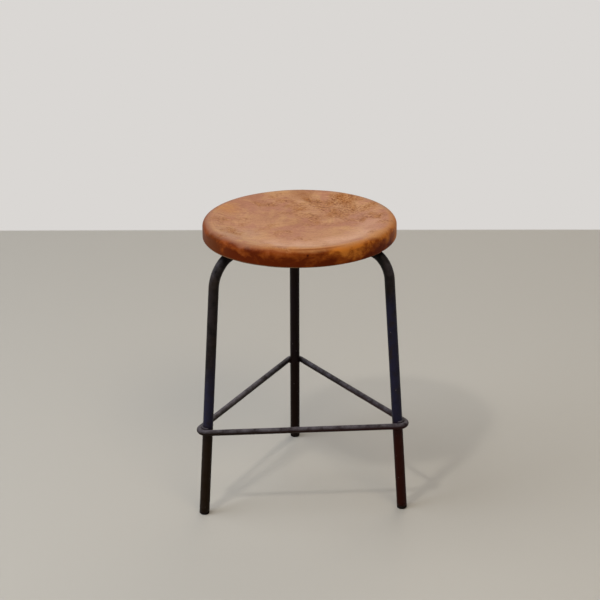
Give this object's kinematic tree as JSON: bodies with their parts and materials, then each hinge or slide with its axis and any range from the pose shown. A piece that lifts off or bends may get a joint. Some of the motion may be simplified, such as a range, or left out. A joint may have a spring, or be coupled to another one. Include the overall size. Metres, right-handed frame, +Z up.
{
  "type": "iron stool",
  "caption": "Low round stool: dished solid wood seat on bent, outward-leaning steel tube legs, tied by a bent steel rod that runs round the outside of the legs.",
  "frame": {"origin": "on the floor, straight below the middle of the round seat, which is also the axis that the three legs are spaced round", "axes": "+Z up along the seat's axis, +Y towards the rear leg, +X towards the right as seen from the front, where two legs stand"},
  "size_m": [0.3314, 0.3392, 0.46],
  "materials": {
    "seat_wood": "waxed, satin",
    "frame_paint": "satin black, a little worn",
    "weld_paint": "satin black over rough weld beads",
    "plug_rubber": "matt",
    "screw_steel": "zinc plated, dulled"
  },
  "bodies": {
    "root": {"seat": "seat_wood", "seat_screws": "screw_steel", "hub_plate": "frame_paint", "hub_seam_weld": "weld_paint", "foot_ring": "frame_paint", "leg_rear": "frame_paint", "leg_left": "frame_paint", "leg_right": "frame_paint", "foot_plug_rear": "plug_rubber", "foot_plug_left": "plug_rubber", "foot_plug_right": "plug_rubber", "hub_weld_rear_1": "weld_paint", "hub_weld_rear_2": "weld_paint", "hub_weld_left_1": "weld_paint", "hub_weld_left_2": "weld_paint", "hub_weld_right_1": "weld_paint", "hub_weld_right_2": "weld_paint", "ring_weld_rear_upper": "weld_paint", "ring_weld_rear_lower": "weld_paint", "ring_weld_left_upper": "weld_paint", "ring_weld_left_lower": "weld_paint", "ring_weld_right_upper": "weld_paint", "ring_weld_right_lower": "weld_paint"}
  },
  "joints": []
}
